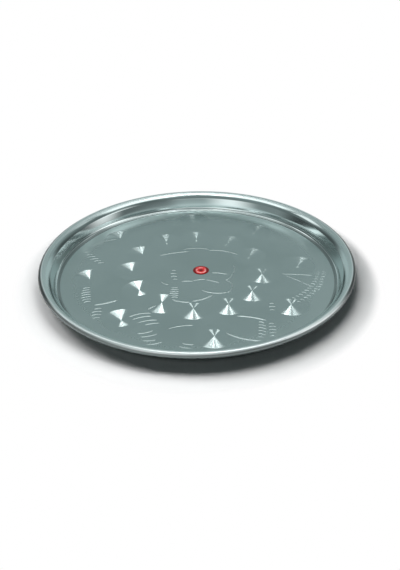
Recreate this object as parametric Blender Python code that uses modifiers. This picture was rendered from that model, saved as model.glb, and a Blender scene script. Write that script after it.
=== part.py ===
"""Round serving tray: a pressed steel pan with a wired rim and a round label.

The pan is one sheet of steel. Its section runs from the flat base over a narrow cove, up a
steep wall, out along a sloping flange and round a wire ring, which stiffens the rim. The
label is stuck on the base, near its middle.

Units are metres, +Z is up. The origin is the middle of the base's underside.
"""

import math

import bpy
from mathutils import Vector

# Overall sizes
OUTER_DIAMETER = 0.400
OVERALL_HEIGHT = 0.025
SHEET = 0.0007

# Rolled rim
WIRE_DIAMETER = 0.0058
WIRE_CLEARANCE = 0.0003
CURL_END = math.radians(-165)

# Flange, wall and cove of the pan, from the rim inwards
FLANGE_WIDTH = 0.0108
FLANGE_SLOPE = math.radians(39.5)
WALL_DRAFT = math.radians(17)
COVE_WIDTH = 0.0044
COVE_HEIGHT = 0.0032

# Bend radii, on the inside of each bend
SHOULDER_BEND = 0.0015
WALL_FOOT_BEND = 0.0022
COVE_BEND = 0.0012

# Label
LABEL_DIAMETER = 0.021
LABEL_THICKNESS = 0.00018
ADHESIVE = 0.00002
LABEL_OFFSET = Vector((0.0054, 0.0023))
LABEL_TURN = math.radians(-4)

# Facets
TURN_STEPS = 72
ARC_STEP = math.radians(20)
WIRE_SIDES = 12
LABEL_SIDES = 48
MERGE_DISTANCE = 0.00001
SMOOTH_ANGLE = math.radians(35)

# Most of a straight stretch that the bend at one of its ends may use
BEND_SHARE = 0.48


# Section of the rim, from the driving dimensions

def curl_radius():
    """Outer radius of the rolled rim's section: the wire, its clearance and the sheet."""
    return WIRE_DIAMETER / 2 + WIRE_CLEARANCE + SHEET


def wire_centre():
    """Middle of the wire's section, as (radius, height)."""
    return Vector((OUTER_DIAMETER / 2 - curl_radius(), OVERALL_HEIGHT - curl_radius()))


def on_curl(angle):
    """Point of the rolled rim's outer face at an angle from the outward direction."""
    return wire_centre() + curl_radius() * Vector((math.cos(angle), math.sin(angle)))


# Section of the pan's upper face, as (radius, height) points

def pan_corners():
    """Sharp corners of the upper face from the axis outwards, each with its bend radius."""
    flange_end = on_curl(math.pi / 2 + FLANGE_SLOPE)
    along_flange = Vector((math.cos(FLANGE_SLOPE), math.sin(FLANGE_SLOPE)))
    shoulder = flange_end - FLANGE_WIDTH * along_flange
    cove_top = SHEET + COVE_HEIGHT
    wall_run = (shoulder.y - cove_top) * math.tan(WALL_DRAFT)
    wall_foot = Vector((shoulder.x - wall_run, cove_top))
    cove_foot = wall_foot - Vector((COVE_WIDTH, COVE_HEIGHT))
    axis = Vector((0, SHEET))
    # At the shoulder the upper face is the outside of the bend, one sheet wider.
    return [
        (axis, 0),
        (cove_foot, COVE_BEND),
        (wall_foot, WALL_FOOT_BEND),
        (shoulder, SHOULDER_BEND + SHEET),
        (flange_end, 0),
    ]


def arc(centre, radius, start, end):
    """Points of an arc, ends included, in steps of about ARC_STEP."""
    count = max(2, math.ceil(abs(end - start) / ARC_STEP))
    angles = [start + (end - start) * i / count for i in range(count + 1)]
    return [centre + radius * Vector((math.cos(a), math.sin(a))) for a in angles]


def rounded(before, corner, after, radius):
    """The arc that rounds a corner, limited by the straight stretches beside it."""
    back = before - corner
    ahead = after - corner
    opening = back.angle(ahead)
    longest = BEND_SHARE * min(back.length, ahead.length)
    tangent = min(radius / math.tan(opening / 2), longest)
    fitted = tangent * math.tan(opening / 2)
    middle = (back.normalized() + ahead.normalized()).normalized()
    centre = corner + middle * math.hypot(tangent, fitted)
    first = corner + back.normalized() * tangent - centre
    last = corner + ahead.normalized() * tangent - centre
    start = math.atan2(first.y, first.x)
    turn = math.atan2(first.x * last.y - first.y * last.x, first.dot(last))
    return arc(centre, fitted, start, start + turn)


def pan_section():
    """The whole upper face, from the axis to the end of the curl under the flange."""
    corners = pan_corners()
    section = [corners[0][0]]
    for i in range(1, len(corners) - 1):
        before, after = corners[i - 1][0], corners[i + 1][0]
        corner, radius = corners[i]
        section += rounded(before, corner, after, radius)
    section += arc(wire_centre(), curl_radius(), math.pi / 2 + FLANGE_SLOPE, CURL_END)
    return section


# Blender helpers

def clear_scene():
    for obj in list(bpy.data.objects):
        bpy.data.objects.remove(obj, do_unlink=True)


def finish(name, colour, roughness, metallic):
    """A plain material in the colour of the real surface."""
    material = bpy.data.materials.new(name)
    material.use_nodes = True
    shader = material.node_tree.nodes["Principled BSDF"]
    shader.inputs["Base Color"].default_value = (*colour, 1)
    shader.inputs["Roughness"].default_value = roughness
    shader.inputs["Metallic"].default_value = metallic
    return material


def place(obj, name, material, collection, origin):
    """Names a part, gives it its material and puts it in the tray's collection."""
    obj.name = name
    obj.data.name = name
    obj.data.materials.append(material)
    for other in list(obj.users_collection):
        other.objects.unlink(obj)
    collection.objects.link(obj)
    obj.parent = origin
    return obj


# The pieces

def make_pan():
    """Sheet steel pan: the section turned about Z, then thickened downwards."""
    points = pan_section()
    mesh = bpy.data.meshes.new("tray_pan")
    edges = [(i, i + 1) for i in range(len(points) - 1)]
    mesh.from_pydata([(p.x, 0, p.y) for p in points], edges, [])
    pan = bpy.data.objects.new("tray_pan", mesh)
    turn = pan.modifiers.new("Turn", "SCREW")
    turn.axis = "Z"
    turn.angle = math.tau
    turn.steps = TURN_STEPS
    turn.render_steps = TURN_STEPS
    turn.use_merge_vertices = True
    turn.merge_threshold = MERGE_DISTANCE
    turn.use_smooth_shade = True
    sheet = pan.modifiers.new("Sheet", "SOLIDIFY")
    sheet.thickness = SHEET
    sheet.offset = -1
    sheet.use_even_offset = True
    sheet.use_rim = True
    return pan


def make_wire():
    """Wire ring inside the rolled rim."""
    centre = wire_centre()
    bpy.ops.mesh.primitive_torus_add(
        major_radius=centre.x,
        minor_radius=WIRE_DIAMETER / 2,
        major_segments=TURN_STEPS,
        minor_segments=WIRE_SIDES,
        location=(0, 0, centre.y),
    )
    wire = bpy.context.object
    wire.data.shade_smooth()
    return wire


def make_label():
    """Round printed label, stuck on the base."""
    height = SHEET + ADHESIVE + LABEL_THICKNESS / 2
    bpy.ops.mesh.primitive_cylinder_add(
        vertices=LABEL_SIDES,
        radius=LABEL_DIAMETER / 2,
        depth=LABEL_THICKNESS,
        location=(*LABEL_OFFSET, height),
        rotation=(0, 0, LABEL_TURN),
    )
    label = bpy.context.object
    label.data.shade_smooth()
    label.data.set_sharp_from_angle(angle=SMOOTH_ANGLE)
    return label


def main():
    clear_scene()
    collection = bpy.data.collections.new("serving_tray")
    bpy.context.scene.collection.children.link(collection)
    origin = bpy.data.objects.new("tray_origin", None)
    collection.objects.link(origin)
    steel = finish("satin_steel", (0.52, 0.57, 0.56), 0.22, 1)
    wire_steel = finish("drawn_wire", (0.46, 0.48, 0.48), 0.35, 1)
    red_film = finish("red_label_film", (0.60, 0.02, 0.02), 0.3, 0)
    place(make_pan(), "tray_pan", steel, collection, origin)
    place(make_wire(), "rim_wire", wire_steel, collection, origin)
    place(make_label(), "centre_label", red_film, collection, origin)


main()
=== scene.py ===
# %% [markdown]
# # A round steel serving tray
# The imported CAD model is the frame of this lesson: it fixes every size. Here the tray gets its
# looks. It is one pressed sheet of steel with a rolled rim, brushed spots, a fine engraved
# ornament and a small round label. The frame is loaded first, and its box is kept.

import math

import bmesh
import bpy
from mathutils import Matrix, Vector, geometry


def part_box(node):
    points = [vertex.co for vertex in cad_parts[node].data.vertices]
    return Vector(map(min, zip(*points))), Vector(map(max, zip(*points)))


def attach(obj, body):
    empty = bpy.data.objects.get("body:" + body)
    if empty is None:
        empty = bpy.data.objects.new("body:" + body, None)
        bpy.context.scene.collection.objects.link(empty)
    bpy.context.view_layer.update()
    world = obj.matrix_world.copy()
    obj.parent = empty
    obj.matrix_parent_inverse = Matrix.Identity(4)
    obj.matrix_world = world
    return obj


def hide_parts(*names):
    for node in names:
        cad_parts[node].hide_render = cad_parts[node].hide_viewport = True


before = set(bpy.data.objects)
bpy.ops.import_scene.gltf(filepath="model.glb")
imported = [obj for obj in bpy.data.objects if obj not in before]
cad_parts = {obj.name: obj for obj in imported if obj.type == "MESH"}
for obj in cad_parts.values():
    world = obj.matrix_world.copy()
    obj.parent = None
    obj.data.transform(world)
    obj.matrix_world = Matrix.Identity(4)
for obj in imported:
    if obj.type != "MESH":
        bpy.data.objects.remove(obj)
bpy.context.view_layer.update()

# %% [markdown]
# ## Sizes of the pressed sheet
# The tray's section is a walk along the sheet, from the axis to the end of the rolled rim. These
# are the sizes of the CAD model, in metres. The rim's radius is what the wire, a little
# clearance and the sheet add up to. Three things are finer than in the CAD, by less than a
# millimetre. The flange isn't a flat cone: it bows, from 48 degrees at its foot to 24 degrees at
# the rim. The wall flares a little in the same way, and the two bends at its foot are softer.

# %% Sizes
SHEET = 0.0007
WIRE_RADIUS = 0.0029
WIRE_CLEARANCE = 0.0003
RIM_RADIUS = WIRE_RADIUS + WIRE_CLEARANCE + SHEET
TRAY_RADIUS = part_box("tray_pan")[1].x
TRAY_HEIGHT = 0.025
WIRE_CENTRE = Vector((TRAY_RADIUS - RIM_RADIUS, TRAY_HEIGHT - RIM_RADIUS))
FLOOR = SHEET
COVE_FOOT = Vector((0.17681, FLOOR))
WALL_FOOT = Vector((0.18121, 0.0039))
WALL_LOW = math.radians(77)
WALL_HIGH = math.radians(70)
WALL_LOW_LENGTH = 0.0052
FLANGE_FOOT = math.radians(48)
FLANGE_TOP = math.radians(24)
FLANGE_BOW = 0.0235
CURL_END = math.radians(-165)
COVE_BEND = 0.0045
WALL_FOOT_BEND = 0.0045
WALL_FLARE = 0.04
SHOULDER_BEND = 0.0022
print("rim section:", round(2000 * RIM_RADIUS, 2), "mm thick")

# %% [markdown]
# ## Nodes as arithmetic
# A finish is a small calculation on every point of a surface. Wiring it by hand is slow to read,
# so this class wraps one socket of a node tree. Python's operators on it add Math nodes, and
# `node` adds any other kind: its settings are made first, then its sockets get values or links.

# %% A class for sockets
class Link:
    def __init__(self, tree, socket=None):
        self.tree = tree
        self.socket = socket

    def node(self, kind, settings=None, inputs=None, output=0):
        made = self.tree.nodes.new("ShaderNode" + kind)
        for name, value in (settings or {}).items():
            if name == "stops":
                set_stops(made.color_ramp, value)
            else:
                setattr(made, name, value)
        for name, value in (inputs or {}).items():
            if isinstance(value, Link):
                self.tree.links.new(value.socket, made.inputs[name])
            else:
                made.inputs[name].default_value = value
        return Link(self.tree, made.outputs[output])

    def maths(self, operation, first, second=0.0):
        return self.node("Math", {"operation": operation}, {0: first, 1: second})

    def __add__(self, other):
        return self.maths("ADD", self, other)

    def __sub__(self, other):
        return self.maths("SUBTRACT", self, other)

    def __rsub__(self, other):
        return self.maths("SUBTRACT", other, self)

    def __mul__(self, other):
        return self.maths("MULTIPLY", self, other)

    def __truediv__(self, other):
        return self.maths("DIVIDE", self, other)

    def __gt__(self, other):
        return self.maths("GREATER_THAN", self, other)

    def __abs__(self):
        return self.maths("ABSOLUTE", self)

    def ease(self, low, high):
        """Rises smoothly from 0 to 1 between two values."""
        return self.node("MapRange", {"interpolation_type": "SMOOTHSTEP"}, {
            "Value": self, "From Min": low, "From Max": high})

    def band(self, rise, fall):
        """1 between a rise and a fall, 0 outside them."""
        return self.ease(*rise) * (1 - self.ease(*fall))

    def blend(self, first, second):
        return self.node("Mix", {"data_type": "RGBA"}, {0: self, 6: first, 7: second}, output=2)

    def parts(self):
        """The three coordinates of a vector."""
        split = self.node("SeparateXYZ", inputs={0: self}).socket.node
        return [Link(self.tree, socket) for socket in split.outputs]

    def flat(self):
        """A vector without its height."""
        return self.node("VectorMath", {"operation": "MULTIPLY"}, {0: self, 1: (1, 1, 0)})

    def length(self):
        return self.node("VectorMath", {"operation": "LENGTH"}, {0: self}, output="Value")

    __radd__ = __add__
    __rmul__ = __mul__


def set_stops(ramp, stops):
    while len(ramp.elements) < len(stops):
        ramp.elements.new(1.0)
    for element, (place, colour) in zip(ramp.elements, stops):
        element.position = place
        element.color = (*colour, 1.0)


print("socket class ready")

# %% [markdown]
# ## A new finish
# Every finish here is one Principled shader. What is the same all over the surface is set on
# the shader itself. What changes from place to place is linked to it. Some metals differ only in
# their tones and in the grain between them, so one function makes all of those.

# %% Helpers for finishes
def finish(name, **settings):
    material = bpy.data.materials.new(name)
    material.use_nodes = True
    shader = material.node_tree.nodes["Principled BSDF"]
    for socket, value in settings.items():
        shader.inputs[socket.replace("_", " ")].default_value = value
    return material, shader, Link(material.node_tree)


def join_up(shader, **links):
    for socket, link in links.items():
        shader.id_data.links.new(link.socket, shader.inputs[socket.replace("_", " ")])


def place_on(link):
    """The point of a surface, in the coordinates of its piece."""
    return link.node("TexCoord", output="Object")


def noise(link, place, scale, detail):
    return link.node("TexNoise", inputs={"Vector": place, "Scale": scale, "Detail": detail})


def bounced(link):
    """1 for light that has left something matt before, otherwise 0."""
    return link.node("LightPath", output="Diffuse Depth") > 0.5


def grained_metal(name, scale, detail, tones, rough, rough_grain):
    """Metal whose tone and roughness follow one fine grain."""
    material, shader, link = finish(name, Metallic=1.0)
    grain = noise(link, place_on(link), scale, detail)
    join_up(shader, Base_Color=grain.blend(*tones), Roughness=rough + grain * rough_grain)
    return material


print("finish helpers ready")

# %% [markdown]
# ## The camera
# The tray is seen from about 32 degrees above the table. Four outer radii away, the far rim is
# clearly smaller than the near one. The lens looks at the middle of the base, the frame is
# shifted a little, and the camera leans by a degree, so the tray's right side sits higher.

# %% Camera
PICTURE = (400, 570)
SENSOR = 36.0
VIEW_HEIGHT = math.radians(31.7)
VIEW_DISTANCE = 4.1032 * TRAY_RADIUS
FOCAL_PIXELS = 629.0
TILT = math.radians(1.187)
SHIFT_PIXELS = (3.13, -13.72)

camera_data = bpy.data.cameras.new("camera")
camera = bpy.data.objects.new("camera", camera_data)
bpy.context.scene.collection.objects.link(camera)
back = Vector((0, -math.cos(VIEW_HEIGHT), math.sin(VIEW_HEIGHT)))
camera.location = Vector((0, 0, FLOOR)) + VIEW_DISTANCE * back
aim = (-back).to_track_quat("-Z", "Y").to_matrix() @ Matrix.Rotation(-TILT, 3, "Z")
camera.rotation_euler = aim.to_euler()
camera_data.sensor_width = SENSOR
camera_data.lens = FOCAL_PIXELS * SENSOR / PICTURE[1]
camera_data.shift_x, camera_data.shift_y = (pixels / PICTURE[1] for pixels in SHIFT_PIXELS)
bpy.context.scene.camera = camera
bpy.context.scene.view_settings.view_transform = "Standard"
print("camera at", [round(c, 3) for c in camera.location], "lens", round(camera_data.lens, 2))

# %% [markdown]
# ## Modelling by hand, in code
# Blender's edit-mode operators act on what is selected. These helpers start a piece as a single
# point, the way one would merge a new plane to one vertex, and then draw with it: a straight
# run extrudes the point, and a bend spins it about the bend's centre. That is how a sheet is
# formed too, by straight runs and bends.

# %% Drawing helpers
DOUBLES = 1e-6
SEED_SIZE = 0.001
# Angles from which an edge stays sharp, in degrees
SHEET_SHARP = 40
MARK_SHARP = 25
LABEL_SHARP = 35


def set_down():
    """Leaves edit mode with nothing selected."""
    if bpy.context.object and bpy.context.object.mode != "OBJECT":
        bpy.ops.object.mode_set(mode="OBJECT")
    bpy.ops.object.select_all(action="DESELECT")


def start_point(name, place):
    """A new mesh in edit mode: a plane, merged to one selected vertex."""
    set_down()
    bpy.ops.mesh.primitive_plane_add(size=SEED_SIZE, location=(0, 0, 0))
    piece = bpy.context.object
    piece.name = name
    piece.data.name = name
    bpy.ops.object.mode_set(mode="EDIT")
    bpy.ops.mesh.merge(type="CENTER")
    bpy.ops.transform.translate(value=place)
    return piece


def run(step):
    """Extrudes the selected point by a step."""
    bpy.ops.mesh.extrude_vertices_move(TRANSFORM_OT_translate={"value": step})


def spin(steps, angle, centre, axis):
    bpy.ops.mesh.spin(steps=steps, angle=angle, center=centre, axis=axis)


def select_where(piece, test):
    """Selects the points that pass a test, and returns the last of them."""
    bpy.ops.mesh.select_all(action="DESELECT")
    points = bmesh.from_edit_mesh(piece.data)
    found = [v for v in points.verts if test(v.co)]
    for point in found:
        point.select = True
    points.select_flush_mode()
    bmesh.update_edit_mesh(piece.data)
    return found[-1].co.copy()


def close_seam():
    """Merges the doubles of a full turn and makes the normals agree."""
    bpy.ops.mesh.select_all(action="SELECT")
    bpy.ops.mesh.remove_doubles(threshold=DOUBLES)
    bpy.ops.mesh.normals_make_consistent(inside=False)


def smooth(piece, sharp):
    set_down()
    piece.select_set(True)
    bpy.context.view_layer.objects.active = piece
    bpy.ops.object.shade_smooth_by_angle(angle=math.radians(sharp))


print("drawing helpers ready")

# %% [markdown]
# ## The section of the pan
# Between two corners of the section lies a straight run, and each corner is a bend. The bends
# start and end where an arc of their radius touches both runs, so each run is shorter than its
# side by the two tangent lengths. The last bend rolls the sheet round the wire.

# %% Corners and bends of the section
MEETING_REACH = 0.03


def heading(angle):
    return Vector((math.cos(angle), math.sin(angle)))


wall_middle = WALL_FOOT + WALL_LOW_LENGTH * heading(WALL_LOW)
flange_end = WIRE_CENTRE + RIM_RADIUS * heading(math.pi / 2 + FLANGE_TOP)
flange_turn = FLANGE_FOOT - FLANGE_TOP
flange_chord = 2 * FLANGE_BOW * math.sin(flange_turn / 2)
flange_start = flange_end - flange_chord * heading((FLANGE_FOOT + FLANGE_TOP) / 2)
shoulder = geometry.intersect_line_line_2d(
    wall_middle, wall_middle + MEETING_REACH * heading(WALL_HIGH),
    flange_start, flange_start - MEETING_REACH * heading(FLANGE_FOOT))
corners = [Vector((0, FLOOR)), COVE_FOOT, WALL_FOOT, wall_middle, shoulder, flange_start]
bend_radii = [0, COVE_BEND, WALL_FOOT_BEND, WALL_FLARE, SHOULDER_BEND, 0]
sides = [b - a for a, b in zip(corners, corners[1:])]
headings = [math.atan2(s.y, s.x) for s in sides]
turns = [0] + [b - a for a, b in zip(headings, headings[1:])] + [0]
tangents = [r * math.tan(abs(t) / 2) for r, t in zip(bend_radii, turns)]
runs = [s.length - a - b for s, a, b in zip(sides, tangents, tangents[1:])]
print("shoulder at", [round(1000 * c, 2) for c in shoulder], "mm, shortest straight run",
      round(1000 * min(runs), 2), "mm")

# %% [markdown]
# With its corners known, the section is drawn point by point and then spun about the tray's axis.
# The spin ends where it began, so the doubled points at the seam and at the axis are merged.

# %% Draw the section, then turn it
BEND_STEPS = 8
FLANGE_STEPS = 10
CURL_STEPS = 30
TURN_STEPS = 240
ALONG_Y = (0, 1, 0)
ALONG_Z = (0, 0, 1)

pan = start_point("tray_pan_sheet", (0, 0, FLOOR))
for i, side in enumerate(sides):
    ahead = side.normalized()
    run((ahead.x * runs[i], 0, ahead.y * runs[i]))
    if turns[i + 1]:
        touch = corners[i + 1] - ahead * tangents[i + 1]
        left = Vector((-ahead.y, ahead.x)) * math.copysign(bend_radii[i + 1], turns[i + 1])
        pivot = touch + left
        spin(BEND_STEPS, turns[i + 1], (pivot.x, 0, pivot.y), ALONG_Y)
bow_centre = flange_end + FLANGE_BOW * Vector((math.sin(FLANGE_TOP), -math.cos(FLANGE_TOP)))
spin(FLANGE_STEPS, -flange_turn, (bow_centre.x, 0, bow_centre.y), ALONG_Y)
curl_turn = math.pi / 2 + FLANGE_TOP - CURL_END
spin(CURL_STEPS, -curl_turn, (WIRE_CENTRE.x, 0, WIRE_CENTRE.y), ALONG_Y)
bpy.ops.mesh.select_all(action="SELECT")
spin(TURN_STEPS, math.tau, (0, 0, 0), ALONG_Z)
close_seam()
bpy.ops.object.mode_set(mode="OBJECT")
print("upper face:", len(pan.data.polygons), "faces")

# %% [markdown]
# ## The sheet's thickness
# A Solidify modifier gives the upper face its wall. It grows away from the normals, so the
# normals have to point up at the base. The wall ends in a real cut edge under the flange.

# %% Thicken the sheet
base_face = min(pan.data.polygons, key=lambda f: f.center.xy.length)
if base_face.normal.z < 0:
    pan.data.flip_normals()
sheet = pan.modifiers.new("sheet", "SOLIDIFY")
sheet.thickness = SHEET
sheet.offset = -1
sheet.use_even_offset = True
bpy.ops.object.modifier_apply(modifier=sheet.name)
smooth(pan, SHEET_SHARP)
heights = [1000 * v.co.z for v in pan.data.vertices]
print("pan from", round(min(heights), 3), "to", round(max(heights), 3), "mm")

# %% [markdown]
# ## Satin steel
# Steel is a mirror with a fine grain. Its tone comes from what it reflects, its softness from
# the roughness. The rim, its wall and the crest of the bead get lighter tones than the base: a
# painted highlight, since they mirror brighter for it. Painted shade darkens the crease at the
# base's edge, the cove, the rim's outer edge and underside and its left and right sides, and the
# lower outside of the bead is a darker teal. Very faint cloudy changes keep the base from looking
# like a computer's perfect plane.

# %% Steel of the pan
STEEL = (0.48, 0.56, 0.555, 1)
STEEL_LIGHT = (0.52, 0.60, 0.595, 1)
# Painted highlight: the rim, its wall and the bead's crest are lighter than the base, so mirror
# brighter
RIM_HIGHLIGHT_STEEL = (0.60, 0.68, 0.675, 1)
WALL_HIGHLIGHT_STEEL = (0.82, 0.90, 0.895, 1)
BEAD_HIGHLIGHT_STEEL = (0.90, 0.94, 0.935, 1)
# Painted shade: the lower outside of the bead is a darker teal
SHADED_LOW_BEAD_STEEL = (0.74, 0.88, 0.875, 1)
PAINTED_SHADE_STEEL = (0.03, 0.04, 0.04, 1)
BASE_RADIUS = COVE_FOOT.x
# Distances from the axis over which each part of the pan begins, or begins and ends
BASE_OUTSIDE = (0.12, 0.172)
RIM = (BASE_RADIUS - 0.001, BASE_RADIUS + 0.002)
CORNER_LINE = ((0.1757, 0.1763), (0.1769, 0.1776))
COVE = ((0.1768, 0.1776), (0.1793, 0.1801))
WALL = ((0.1790, 0.1802), (0.1850, 0.1866))
SOFT_RIM = (0.1890, 0.1925)
BEAD = (0.1943, 0.1962)
SIDE_SHADE_REACH = (0.1958, 0.1973)
RIM_OUTSIDE = (0.1968, 0.1980)
RIM_EDGE = (0.1985, 0.1998)
# Heights over which the bead's painted highlight begins and the painted shade on its outside ends
BRIGHT_BEAD = (0.0205, 0.0235)
OUTSIDE_TOP = (0.0205, 0.0225)
# Where painted shade darkens the rim's left and right sides, as the share of the distance that
# points to the left or right
SIDE_SHADE_SHARE = (0.78, 0.92)
# Values of the noise over which a cloud begins, and the middle of all its values
CLOUDS = (0.35, 0.65)
NOISE_MIDDLE = 0.5
# How strongly painted shade darkens the corner line, the rim's edge and underside, the cove and the
# sides
CORNER_SHADE, EDGE_SHADE, COVE_SHADE, SIDE_SHADE_STRENGTH = 0.5, 0.8, 0.6, 0.85
BASE_ROUGH, BASE_EDGE_ROUGH = 0.18, 0.12
CLOUD_ROUGH, GRAIN_ROUGH = 0.05, 0.04
RIM_ROUGH, SOFT_ROUGH = 0.09, 0.26
COVE_SOFT = 0.45

steel, steel_shader, link = finish("satin_steel", Metallic=1.0)
place = place_on(link)
away = place.flat().length()
sideways, _, height = place.parts()
clouds = noise(link, place, scale=9.0, detail=3.0)
grain = noise(link, place, scale=900.0, detail=2.0)
rim = away.ease(*RIM)
cove = away.band(*COVE)
satin = clouds.ease(*CLOUDS).blend(STEEL, STEEL_LIGHT)
bead_highlight_and_shade = height.ease(*BRIGHT_BEAD).blend(SHADED_LOW_BEAD_STEEL, BEAD_HIGHLIGHT_STEEL)
rim_and_wall_highlight = away.band(*WALL).blend(RIM_HIGHLIGHT_STEEL, WALL_HIGHLIGHT_STEEL)
steel_tones = rim.blend(satin, away.ease(*BEAD).blend(rim_and_wall_highlight, bead_highlight_and_shade))
# Painted shade: a near-black steel darkens the crease, the cove, the rim's edge, underside and
# sides
shaded_rim_underside = away.ease(*RIM_OUTSIDE) * (1 - height.ease(*OUTSIDE_TOP))
shaded_rim_edge = link.maths("MAXIMUM", away.ease(*RIM_EDGE), shaded_rim_underside)
shaded_rim_sides = away.ease(*SIDE_SHADE_REACH) * (abs(sideways) / away).ease(*SIDE_SHADE_SHARE)
painted_shade = 1 - ((1 - CORNER_SHADE * away.band(*CORNER_LINE)) * (1 - EDGE_SHADE * shaded_rim_edge)
              * (1 - COVE_SHADE * cove) * (1 - SIDE_SHADE_STRENGTH * shaded_rim_sides))
soft = link.maths("MAXIMUM", away.ease(*SOFT_RIM), cove * COVE_SOFT)
base_rough = (BASE_ROUGH + away.ease(*BASE_OUTSIDE) * BASE_EDGE_ROUGH
              + (clouds - NOISE_MIDDLE) * CLOUD_ROUGH + (grain - NOISE_MIDDLE) * GRAIN_ROUGH)
rough = base_rough * (1 - rim) + rim * (RIM_ROUGH + soft * SOFT_ROUGH)
join_up(steel_shader, Base_Color=painted_shade.blend(steel_tones, PAINTED_SHADE_STEEL), Roughness=rough)
pan.data.materials.append(steel)
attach(pan, "root")
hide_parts("tray_pan")
print("pan finished with", steel.name)

# %% [markdown]
# ## Brushed spots
# A small rotating brush is pressed on the base again and again, in two rings. Each touch leaves
# fine circular scratches, and they shine as a bow tie: only where the scratches lie across the
# light. A picture of a bow tie would be wrong from any other side, so the scratches are modelled as
# fine rings. One ring is drawn, an Array repeats it, and a spin turns the row into a disc.

# %% One brushed spot
SPOT_RADIUS = 0.0224
RING_PITCH = 0.0008
SPOT_STEPS = 60
# How far above the base the rings start, and how far below it the spot ends
SPOT_LIFT = 0.00001
SPOT_ROOT = 0.0001
RING_COUNT = int(SPOT_RADIUS / RING_PITCH)
RING_MERGE = 5e-6
# Share of the pitch within which a point counts as the outermost
OUTERMOST = 0.01
# Share of the pitch and slope in degrees of the two faces on a ridge's flank
FLANK_SHARE = 0.24
FLANK_SLOPES = (27, 22)


def brushed_spot(name, flanks):
    """A disc of fine rings. flanks are the (share of the pitch, slope in degrees) of one ring."""
    rises = [share * RING_PITCH * math.tan(math.radians(slope)) for share, slope in flanks]
    lowest = min(sum(rises[:i]) for i in range(len(rises) + 1))
    spot = start_point(name, (0, 0, FLOOR + SPOT_LIFT - lowest))
    for (share, _), rise in zip(flanks, rises):
        run((share * RING_PITCH, 0, rise))
    bpy.ops.object.mode_set(mode="OBJECT")
    row = spot.modifiers.new("rings", "ARRAY")
    row.count = RING_COUNT
    row.use_relative_offset = False
    row.use_constant_offset = True
    row.constant_offset_displace = (RING_PITCH, 0, 0)
    row.use_merge_vertices = True
    row.merge_threshold = RING_MERGE
    bpy.ops.object.modifier_apply(modifier=row.name)
    bpy.ops.object.mode_set(mode="EDIT")
    edge = select_where(spot, lambda point: point.x > (RING_COUNT - OUTERMOST) * RING_PITCH)
    run((0, 0, FLOOR - SPOT_ROOT - edge.z))
    run((-edge.x, 0, 0))
    bpy.ops.mesh.select_all(action="SELECT")
    spin(SPOT_STEPS, math.tau, (0, 0, 0), ALONG_Z)
    close_seam()
    return spot


def ring_flanks(strength):
    """One ring: flat, then a low ridge whose flanks steepen towards its foot."""
    flank = [(FLANK_SHARE * strength, slope) for slope in FLANK_SLOPES]
    flat = 1 - 2 * sum(share for share, _ in flank)
    return [(flat, 0)] + flank + [(share, -slope) for share, slope in flank[::-1]]


print("rings in a spot:", RING_COUNT)

# %% [markdown]
# The brush is held at a slight tilt, so it bites deep on one side and only near its middle on the
# other. Elsewhere the rings are pressed almost flat, by scaling their height. At the front the bite
# is even, with one streak where a tuft of the brush is worn, and on the other side it is forked. At
# the left it gets deeper towards one side, and on some spots it soon fades.

# %% The bite of the brush
STEP_ANGLE = 360 / SPOT_STEPS


def bite_depths(first, *depths):
    """Depth of the bite at steps of STEP_ANGLE, anticlockwise from the first step."""
    return {first + i: depth for i, depth in enumerate(depths)}


EVEN_BITE = bite_depths(-6, 0.3, 0.75, 1.0, 0.95, 1.0, 1.0, 1.0, 0.4, 1.0, 1.0, 0.95, 0.7, 0.3)
FORKED_BITE = bite_depths(-6, 0.5, 1.0, 1.0, 1.0, 0.8, 0.2, 0.1, 0.2, 0.8, 1.0, 1.0, 1.0, 0.5)
NARROW_BITE = bite_depths(-5, 0.5, 0.9, 1.0, 1.0, 1.0, 0.85, 1.0, 1.0, 0.7, 0.3)
WIDE_BITE = bite_depths(-2, 0.6, 1.0, 1.0, 1.0, 1.05, 1.1, 1.15, 1.2, 1.25, 1.2, 0.6, 0.5, 0.5, 0.5,
                        0.5, 0.5, 0.4, 0.3, 0.2)
FADING_BITE = bite_depths(-3, 0.3, 0.8, 1.0, 1.0, 1.02, 1.04, 1.04, 1.04, 1.04, 1.04, 1.0, 0.9, 0.6,
                          0.5, 0.45, 0.4, 0.35, 0.3, 0.2)
FAINT_BITE = bite_depths(-2, 0.3, 0.6, 0.8, 0.6, 0.3)
BACK_BITE = bite_depths(-3, 0.3, 0.9, 1.2, 1.2, 1.2, 1.15, 1.1, 1.0, 0.8, 0.6, 0.5, 0.4, 0.3)
OFF_BITE = 0.1


def bite(spot, toward, depths, counter_depths, counter_reach):
    """Presses the rings of a spot flat, except round the direction of the bite.

    Opposite to that direction the bite has depths of its own, and it reaches only to a share
    of the spot's radius.
    """
    def step_of(point):
        turn = math.degrees(math.atan2(point.y, point.x)) - toward
        return round(((turn + 180) % 360 - 180) / STEP_ANGLE)

    def depth_at(point):
        step = step_of(point)
        if step in depths:
            return depths[step]
        opposite = step - SPOT_STEPS // 2 if step > 0 else step + SPOT_STEPS // 2
        near = point.xy.length < counter_reach * SPOT_RADIUS
        return max(counter_depths.get(opposite, 0) if near else 0, OFF_BITE)

    rings_foot = FLOOR + SPOT_LIFT
    middle = (0, 0, rings_foot)
    for depth in sorted({*depths.values(), *counter_depths.values(), OFF_BITE}):
        select_where(spot, lambda point: point.z > rings_foot + DOUBLES
                     and point.xy.length > DOUBLES and depth_at(point) == depth)
        bpy.ops.transform.resize(value=(1, 1, depth), center_override=middle)
    bpy.ops.object.mode_set(mode="OBJECT")
    return spot


TO_FRONT, TO_BACK = -90, 90
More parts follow.
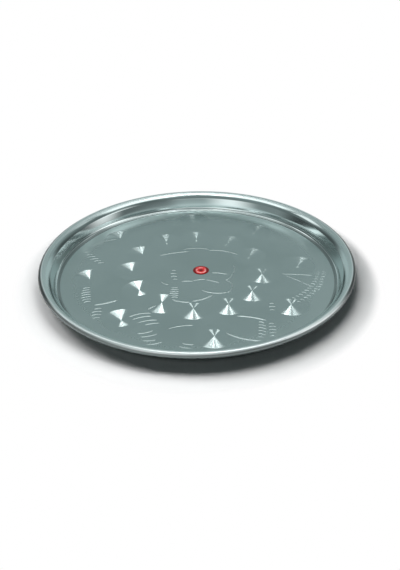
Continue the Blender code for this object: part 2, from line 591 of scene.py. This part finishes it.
# Each kind: strength of its rings, direction in degrees and depths of its bite, and for the
# opposite side the depths and the share of the radius
SPOT_KINDS = {
    "front": (1.0, TO_FRONT, EVEN_BITE, FORKED_BITE, 0.55),
    "turning": (1.0, TO_FRONT, NARROW_BITE, NARROW_BITE, 0.8),
    "wide": (1.0, TO_BACK, WIDE_BITE, WIDE_BITE, 0.55),
    "fading": (1.0, TO_BACK, FADING_BITE, FAINT_BITE, 0.35),
    "back": (0.25, TO_BACK, BACK_BITE, BACK_BITE, 0.3)}
masters = {}
for kind, (strength, *bite_shape) in SPOT_KINDS.items():
    disc = brushed_spot("spot_" + kind, ring_flanks(strength))
    masters[kind] = bite(disc, *bite_shape)
print("spots:", {kind: len(spot.data.polygons) for kind, spot in masters.items()})

# %% [markdown]
# The worker set the spots by eye, so the two rings aren't quite even. Each kind of spot is modelled
# once and copied to its places. Neighbours differ in height by a hair, so that no two faces lie in
# one plane where spots overlap.

# %% Rings of spots
# Each spot: place in millimetres and turn in degrees
SPOTS = {
    "front": [(37, -76, -6), (-5, -84, -3), (84, -9, -9), (68, -49, -8), (18, -138, -4),
              (112, -80, -11)],
    "turning": [(-43, -70, -3)],
    "wide": [(-89, -105, 0), (-72, -42, 0)],
    "fading": [(-74, 47, 0), (-85, 4, 0), (-138, -13, 10), (-108, 94, 0)],
    "back": [(-42, 80, 0), (0, 87, -5), (43, 72, -35), (72, 36, -35), (134, 10, -35),
             (85, 105, -35), (-4, 146, 0)]}
OVERLAP_LIFT = 0.00003


def copy_to(master, x, y, z=0.0, turn=0.0):
    twin = master.copy()
    twin.data = master.data.copy()
    bpy.context.scene.collection.objects.link(twin)
    twin.location = (x, y, z)
    twin.rotation_euler.z = math.radians(turn)
    return twin


def join_copies(name, copies):
    """Joins copies into one piece whose place is in its mesh."""
    set_down()
    for twin in copies:
        twin.select_set(True)
    bpy.context.view_layer.objects.active = copies[0]
    bpy.ops.object.transform_apply(location=True, rotation=True, scale=True)
    bpy.ops.object.join()
    piece = bpy.context.object
    piece.name = name
    piece.data.name = name
    return piece


spots = []
for kind, places in SPOTS.items():
    copies = [copy_to(masters[kind], x / 1000, y / 1000, OVERLAP_LIFT * (i % 2), turn)
              for i, (x, y, turn) in enumerate(places)]
    bpy.data.objects.remove(masters[kind])
    spots.append(join_copies("brushed_spots_" + kind, copies))
for piece in spots:
    smooth(piece, MARK_SHARP)
    print(piece.name, "has", len(piece.data.polygons), "faces")

# %% [markdown]
# The scratches are the same steel, freshly cut. Their shine comes from their shape, so the finish
# only adds a fine grain to the tone and to the roughness.

# %% Finish of the spots
BRUSHED_STEEL = (0.47, 0.55, 0.545, 1)

brushed = grained_metal("brushed_steel", scale=600.0, detail=3.0,
                        tones=(BRUSHED_STEEL, STEEL_LIGHT), rough=0.20, rough_grain=0.06)
for piece in spots:
    piece.data.materials.append(brushed)
    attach(piece, "root")
print("spots finished with", brushed.name)

# %% [markdown]
# ## Engraved ornament
# A graver has cut leaves and ribbons into the base. Each cut throws up a thin bright edge, and
# that edge is what one sees. It is modelled as a low ridge with pointed ends: a small triangle is
# spun along the stroke's arc, and both of its ends are merged to a point. Its flanks are steeper at
# the foot than at the crest, so part of them always meets the light.

# %% One engraved stroke
LONG_CUT = 0.0016
BROAD_CUT = 0.0024
RIB_CUT = 0.0013
# Share of half the width and slope in degrees of each face
CUT_FLANKS = [(0.3, 28), (0.7, 20), (0.7, -20), (0.3, -28)]
CUT_ROOT = 0.00002
CUT_STEPS = 8


def merge_end(piece, place, width):
    """Merges the section of a stroke that lies at a place."""
    select_where(piece, lambda point: (point.xy - place).length < width)
    bpy.ops.mesh.merge(type="CENTER")


def stroke(start, end, bow, width=LONG_CUT):
    """A stroke between two points in millimetres. bow is its height over its length."""
    start, end = Vector(start) / 1000, Vector(end) / 1000
    chord = end - start
    rise = bow * chord.length
    radius = (chord.length ** 2 / 4 + rise ** 2) / (2 * abs(rise))
    aside = Vector((-chord.y, chord.x)).normalized() * math.copysign(1, bow)
    centre = (start + end) / 2 - aside * (radius - abs(rise))
    angle = math.copysign(2 * math.asin(chord.length / 2 / radius), bow)
    out = (start - centre).normalized() * width / 2
    cut = start_point("cut", (start.x - out.x, start.y - out.y, FLOOR - CUT_ROOT))
    for share, slope in CUT_FLANKS:
        climb = share * width / 2 * math.tan(math.radians(slope))
        run((share * out.x, share * out.y, climb))
    bpy.ops.mesh.select_all(action="SELECT")
    bpy.ops.mesh.edge_face_add()
    spin(CUT_STEPS, angle, (centre.x, centre.y, 0), ALONG_Z)
    merge_end(cut, start, width)
    merge_end(cut, end, width)
    close_seam()
    bpy.ops.object.mode_set(mode="OBJECT")
    return cut


# %% [markdown]
# The long strokes are a rosette round the middle, sprays towards the rim and the veins of a leaf.
# The boldest are cut broader. The short ones stand in rows, like ribs: one rib is cut, and the rows
# are copies of it, each moved, turned and stretched to its length.

# %% Strokes and rows of ribs
# Each stroke: start and end in millimetres, its bow, and its width if that isn't LONG_CUT
ROSETTE = [
    ((-50, 43), (-9, 52), 0.04), ((16, 54), (56, 41), 0.10), ((-19, 57), (18, 56), 0.12, RIB_CUT),
    ((48, 13), (46, -7), 0.12),
    ((46, -7), (36, -23), 0.12), ((36, -23), (43, -40), 0.20), ((43, -40), (37, -51), 0.15),
    ((37, -51), (5, -45), 0.12), ((19, -4), (39, -9), 0.05), ((-20, -24), (-5, -24), 0.05),
    ((-5, -23), (11, -20), 0.06), ((11, -21), (28, -29), 0.05),
    ((-46, -23), (-36, -31), -0.10), ((-31, -64), (-9, -71), -0.08, BROAD_CUT),
    ((-7, -69), (19, -56), -0.08, BROAD_CUT)]
SPRAYS = [
    ((45, -101), (79, -111), 0.05, BROAD_CUT), ((31, -133), (70, -149), -0.08, BROAD_CUT),
    ((-60, -85), (-49, -76), 0.04, BROAD_CUT),
    ((-35, -124), (-5, -118), 0.08), ((-18, -150), (-5, -153), -0.08),
    ((-22, -155), (-8, -159), -0.08), ((110, -11), (148, -16), 0.02, RIB_CUT),
    ((114, -15), (142, -41), 0.02), ((-149, 68), (-113, 91), 0.12),
    ((-125, -73), (-97, -63), -0.04, BROAD_CUT)]
LEAF = [
    ((-81, -99), (-55, -92), 0.10), ((-77, -105), (-54, -98), 0.09),
    ((-70, -111), (-47, -106), 0.08), ((-61, -115), (-44, -112), 0.05),
    ((-69, -131), (-51, -126), -0.08), ((-65, -137), (-46, -132), -0.08),
    ((-62, -144), (-47, -143), -0.06), ((-58, -151), (-40, -147), -0.08)]
# Each row: first rib, last rib, bow of the row, how many, length, turn of the first and the last
RIB_ROWS = [
    ((73, -115), (70, -143), 0.05, 6, 10, -20, -26), ((84, -118), (83, -141), 0.03, 5, 9, 2, -2),
    ((89, -78), (88, -91), 0.02, 3, 8, 0, -2), ((164, -8), (122, -75), 0.10, 14, 7, -10, -28),
    ((157, -8), (112, -71), 0.10, 14, 6, -10, -28), ((-154, 62), (-128, 26), -0.06, 7, 12, 16, 6),
    ((-139, -35), (-134, -66), -0.05, 7, 13, 14, 18),
    ((-119, -81), (-119, -100), -0.04, 4, 13, 12, 8),
    ((-28, -39), (-28, -60), -0.03, 6, 12, 0, -5), ((-30, 2), (-28, -19), -0.05, 4, 8, 4, -2)]
RIB_LENGTH = 10
RIB_BOW = 0.13
# Length of a row's first and last rib, as a share of its longest
SHORTEST = 0.7

cuts = [stroke(*line) for line in ROSETTE + SPRAYS + LEAF]
rib = stroke((-RIB_LENGTH / 2, 0), (RIB_LENGTH / 2, 0), RIB_BOW, RIB_CUT)
for first, last, bow, count, length, first_turn, last_turn in RIB_ROWS:
    first, last = Vector(first) / 1000, Vector(last) / 1000
    beside = Vector((first.y - last.y, last.x - first.x))
    for i in range(count):
        share = i / (count - 1)
        swell = math.sin(math.pi * share)
        middle = first.lerp(last, share) + beside * bow * swell
        twin = copy_to(rib, *middle, turn=first_turn + (last_turn - first_turn) * share)
        twin.scale.x = length / RIB_LENGTH * (SHORTEST + (1 - SHORTEST) * swell)
        cuts.append(twin)
bpy.data.objects.remove(rib)
engraving = join_copies("engraving", cuts)
smooth(engraving, MARK_SHARP)
print("engraved strokes:", len(cuts), "with", len(engraving.data.polygons), "faces")

# %% [markdown]
# The cut edges are duller than the brushed spots, so they glow softly instead of glittering.

# %% Finish of the engraving
cut_steel = grained_metal("cut_steel", scale=200.0, detail=2.0, tones=(STEEL, STEEL_LIGHT),
                          rough=0.38, rough_grain=0.1)
engraving.data.materials.append(cut_steel)
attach(engraving, "root")
print("engraving finished with", cut_steel.name)

# %% [markdown]
# ## The label
# A thin printed film, stuck near the middle of the base. It starts as a cylinder of the CAD label's
# size, and its edge is bevelled. Its print is a calculation on the distance from its middle: a pale
# ring on red, which deepens in the middle and at the edge. Towards the left and right the red
# deepens and the ring fades, and that is painted shade.

# %% Label
LABEL_CORNERS = 96
LABEL_BEVEL = 0.35
BEVEL_STEPS = 3
label_low, label_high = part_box("centre_label")
label_centre = (label_low + label_high) / 2
label_radius = (label_high.x - label_low.x) / 2
label_depth = label_high.z - label_low.z

set_down()
bpy.ops.mesh.primitive_cylinder_add(
    vertices=LABEL_CORNERS, radius=label_radius, depth=label_depth, location=label_centre)
label = bpy.context.object
label.name = "round_label"
bpy.ops.object.transform_apply(location=True, rotation=True, scale=True)
bpy.ops.object.mode_set(mode="EDIT")
bpy.ops.mesh.select_all(action="SELECT")
bpy.ops.mesh.bevel(offset=label_depth * LABEL_BEVEL, segments=BEVEL_STEPS)
bpy.ops.object.mode_set(mode="OBJECT")
smooth(label, LABEL_SHARP)

RED = (0.49, 0.0155, 0.017, 1)
DEEP_RED = (0.124, 0.003, 0.003, 1)
PALE = (0.95, 0.66, 0.64, 1)
# Shares of the label's radius over which the ring, the red field and the painted side shade begin
# and end
PALE_RING = ((0.42, 0.52), (0.62, 0.72))
RED_FIELD = ((0.16, 0.36), (0.74, 0.94))
LABEL_SIDE_SHADE = (0.45, 0.80)
# Values of the noise over which the print appears
MOTTLE = (0.3, 0.7)
PRINT_STRENGTH, RING_SIDE_SHADE = 0.5, 0.8

film, film_shader, link = finish(
    "red_label_film", Roughness=0.28, Coat_Weight=0.05, Coat_Roughness=0.12,
    Specular_IOR_Level=0.2)
place = place_on(link)
off_centre = link.node("VectorMath", {"operation": "SUBTRACT"}, {
    0: place, 1: (label_centre.x, label_centre.y, 0)})
reach = off_centre.flat().length() / label_radius
sideways = off_centre.parts()[0]
# Painted shade: towards the left and right the red deepens and the pale ring fades
label_side_shade = (abs(sideways) / label_radius).ease(*LABEL_SIDE_SHADE)
mottle = noise(link, place, scale=300.0, detail=2.0).ease(*MOTTLE)
deep = 1 - reach.band(*RED_FIELD) * (1 - label_side_shade)
ring = reach.band(*PALE_RING) * (1 - RING_SIDE_SHADE * label_side_shade) * mottle * PRINT_STRENGTH
join_up(film_shader, Base_Color=ring.blend(deep.blend(RED, DEEP_RED), PALE))
label.data.materials.append(film)
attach(label, "root")
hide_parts("centre_label")
print("label radius", round(1000 * label_radius, 2), "mm")

# %% [markdown]
# ## The wire
# The ring inside the rolled rim is right as the CAD made it, and almost hidden. It keeps its
# shape and gets a drawn-wire finish: a fine grain, a little dark.

# %% Finish of the wire
WIRE_STEEL = (0.36, 0.39, 0.39, 1)
WIRE_STEEL_LIGHT = (0.5, 0.53, 0.53, 1)

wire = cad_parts["rim_wire"]
drawn = grained_metal("drawn_wire", scale=1200.0, detail=2.0,
                      tones=(WIRE_STEEL, WIRE_STEEL_LIGHT), rough=0.3, rough_grain=0.2)
wire.data.materials.clear()
wire.data.materials.append(drawn)
print("wire finished with", drawn.name)

# %% [markdown]
# ## The table
# A pale table top runs to the horizon. Near the tray it is lit by the lamps and keeps the
# shadow. Further away it turns into an even white for rays from the camera and from mirrors.

# %% Table top
TABLE_SIZE = 40
TABLE_DROP = 0.0002
TABLE_WHITE = (0.9, 0.9, 0.9, 1)
BOUNCED_GREY = (0.1, 0.1, 0.1, 1)
# Distances from the middle over which the lit table turns into even white
FAR_TABLE = (0.220, 0.234)

set_down()
bpy.ops.mesh.primitive_plane_add(size=TABLE_SIZE, location=(0, 0, -TABLE_DROP))
table = bpy.context.object
table.name = "table"
white, white_shader, link = finish("table_white", Roughness=0.9, Specular_IOR_Level=0.0)
reach = place_on(link).length()
sees = (link.node("LightPath", output="Is Camera Ray")
        + link.node("LightPath", output="Is Glossy Ray")
        + link.node("LightPath", output="Is Transmission Ray"))
first_sight = 1 - bounced(link)
join_up(white_shader, Base_Color=first_sight.blend(BOUNCED_GREY, TABLE_WHITE))
glow = link.node("Emission", inputs={"Color": (1, 1, 1, 1), "Strength": 1.0})
far = reach.ease(*FAR_TABLE) * link.maths("MINIMUM", sees, 1.0) * first_sight
surface = link.node("MixShader", inputs={0: far, 2: glow})
white.node_tree.links.new(white_shader.outputs[0], surface.socket.node.inputs[1])
output = white.node_tree.nodes["Material Output"]
white.node_tree.links.new(surface.socket, output.inputs["Surface"])
table.data.materials.append(white)
print("table ready")

# %% [markdown]
# Seen from low down, the table ends at the horizon. A white wall stands all round it there, for the
# camera alone, as a backdrop stands outside what the steel mirrors.

# %% Backdrop
BACKDROP_CORNERS = 64
BACKDROP_RADIUS = 18
BACKDROP_HEIGHT = 16

set_down()
bpy.ops.mesh.primitive_cylinder_add(
    vertices=BACKDROP_CORNERS, radius=BACKDROP_RADIUS, depth=BACKDROP_HEIGHT,
    end_fill_type="NOTHING")
backdrop = bpy.context.object
backdrop.name = "backdrop"
backdrop_white, _, _ = finish(
    "backdrop_white", Base_Color=(0, 0, 0, 1), Emission_Color=(1, 1, 1, 1),
    Emission_Strength=1.0, Specular_IOR_Level=0.0)
backdrop.data.materials.append(backdrop_white)
backdrop.visible_glossy = False
backdrop.visible_diffuse = False
backdrop.visible_shadow = False
print("backdrop ready")

# %% [markdown]
# ## Light
# Steel shows the room more than itself, so the room is planned as what the tray mirrors. Its greys
# change with the height, all the way over from back to front. The base mirrors the mid grey behind
# the tray. Low down and at the sides it is darker, and that gives the bends their dark lines.

# %% Room
# Each tone: share of the way over from back to front, brightness there
TONES = [(0.00, 0.60), (0.115, 0.58), (0.145, 0.42), (0.22, 0.44), (0.30, 0.38), (0.50, 0.36),
         (0.62, 0.28), (0.78, 0.25), (0.90, 0.23), (0.915, 0.36), (0.93, 0.50), (1.00, 0.60)]
TINT = (0.84, 1.0, 1.0)
# Parts of a direction, from -1 to 1, over which each darker region of the room begins
BEHIND_TRAY = (-0.35, 0.05)
ABOVE_HORIZON = (0.03, 0.13)
FAR_SIDES = (0.40, 0.75)
NEAR_SIDES = (0.45, 0.65)
ABOVE_NEAR_SIDES = (0.40, 0.60)
TO_RIGHT = (0.15, 0.45)
HORIZON_DARK, SIDE_DARK, NEAR_SIDE_DARK, RIGHT_FRONT_DARK = 0.45, 0.45, 0.6, 0.4
# What the room loses as light on matt things
MATT_LOSS = 0.65

world = bpy.data.worlds.new("studio")
bpy.context.scene.world = world
world.use_nodes = True
link = Link(world.node_tree)
to_x, to_y, to_z = link.node("TexCoord", output="Generated").parts()
way_over = link.maths("ARCTAN2", to_z, to_y) / math.pi
tones = link.node("ValToRGB", {"stops": [
    (share, tuple(tone * c for c in TINT)) for share, tone in TONES]}, {0: way_over})
behind = to_y.ease(*BEHIND_TRAY)
to_side = abs(to_x)
horizon = (1 - to_z.ease(*ABOVE_HORIZON)) * behind
far_sides = to_side.ease(*FAR_SIDES) * behind
near_sides = to_side.ease(*NEAR_SIDES) * behind * (1 - to_z.ease(*ABOVE_NEAR_SIDES))
right_front = to_x.ease(*TO_RIGHT) * (1 - behind)
bright = ((1 - HORIZON_DARK * horizon) * (1 - SIDE_DARK * far_sides)
          * (1 - NEAR_SIDE_DARK * near_sides) * (1 - RIGHT_FRONT_DARK * right_front))
dim = bright * (1 - MATT_LOSS * bounced(link))
background = world.node_tree.nodes["Background"]
world.node_tree.links.new(tones.socket, background.inputs["Color"])
world.node_tree.links.new(dim.socket, background.inputs["Strength"])
print("room tones:", len(TONES))

# %% [markdown]
# Three small soft boxes above the tray make the bow ties of the spots. Soft panels at both sides
# stretch the light along the rim, and a window, a pale wall and a card give the tray's wall its
# glare. Two more lamps light the table alone and draw the shadow: the steel doesn't mirror them.

# %% Lamps
def soft_box(name, place, target, size, radiance, turn=0.0, edge=0.0):
    """A rectangular lamp of a given brightness as a mirror would show it."""
    lamp = bpy.data.lights.new(name, "AREA")
    lamp.shape = "RECTANGLE"
    lamp.size, lamp.size_y = size
    lamp.energy = radiance * math.pi * size[0] * size[1]
    lamp_object = bpy.data.objects.new(name, lamp)
    bpy.context.scene.collection.objects.link(lamp_object)
    lamp_object.location = place
    aim = (Vector(target) - Vector(place)).to_track_quat("-Z", "Y").to_matrix()
    spin_in_plane = Matrix.Rotation(math.radians(turn), 3, "Z")
    lamp_object.rotation_euler = (aim @ spin_in_plane).to_euler()
    lamp_object.visible_camera = False
    if edge:
        fade_edges(lamp, edge)
    return lamp_object


def fade_edges(lamp, edge):
    """Lets a lamp fade to nothing over a share of its half width."""
    lamp.use_nodes = True
    link = Link(lamp.node_tree)
    along, up, _ = link.node("NewGeometry", output="Parametric").parts()
    along_fade, up_fade = [(1 - abs(way * 2 - 1)).ease(0, edge) for way in (along, up)]
    strength = along_fade * up_fade
    lamp.node_tree.links.new(
        strength.socket, lamp.node_tree.nodes["Emission"].inputs["Strength"])


SOFT_BOX_X = (-0.2, 0, 0.2)
SOFT_BOX_Y = 0.13
SOFT_BOX_HEIGHT = 1.5
SOFT_BOX_SIZE = (0.13, 0.25)
SOFT_BOX_BRIGHTNESS = 7
for i, x in enumerate(SOFT_BOX_X):
    soft_box("soft_box_" + str(i), (x, SOFT_BOX_Y, SOFT_BOX_HEIGHT), (x, SOFT_BOX_Y, 0),
             SOFT_BOX_SIZE, SOFT_BOX_BRIGHTNESS)
# Each table lamp: name, place, target, size, brightness
TABLE_LAMPS = [
    ("table_key", (0, -0.085, 0.32), (0, -0.085, 0), (0.26, 0.26), 5.0),
    ("table_side", (-0.55, 0.10, 0.62), (0, 0, 0), (0.4, 0.4), 5.6)]
for lamp in TABLE_LAMPS:
    soft_box(*lamp).visible_glossy = False

# Each panel: name, place, target, size, brightness, turn, soft share of its edge
PANELS = [
    ("near_left", (-0.50, 0.29, 1.5), (-0.50, 0.29, 0), (1.3, 0.68), 1.4, 149, 0.6),
    ("far_left", (-1.08, 0.76, 1.5), (-1.08, 0.76, 0), (1.6, 0.78), 1.05, 133, 0.6),
    ("near_right", (0.53, 0.24, 1.5), (0.53, 0.24, 0), (1.3, 0.80), 1.35, 30, 0.6),
    ("far_right", (0.76, 0.80, 1.5), (0.76, 0.80, 0), (1.5, 1.0), 0.5, 50, 0.6),
    ("window", (1.08, -0.14, 0.65), (0, 0, 0.35), (1.0, 1.8), 1.6, 20, 1.0),
    ("left_wall", (-0.60, -0.95, 0.65), (0, 0, 0.3), (1.2, 1.6), 0.95, 0, 1.0),
    ("card", (0, -0.55, 0.4), (0, -0.1, 0), (0.6, 0.35), 0.5, 0, 0.5)]
for panel in PANELS:
    soft_box(*panel).visible_diffuse = False
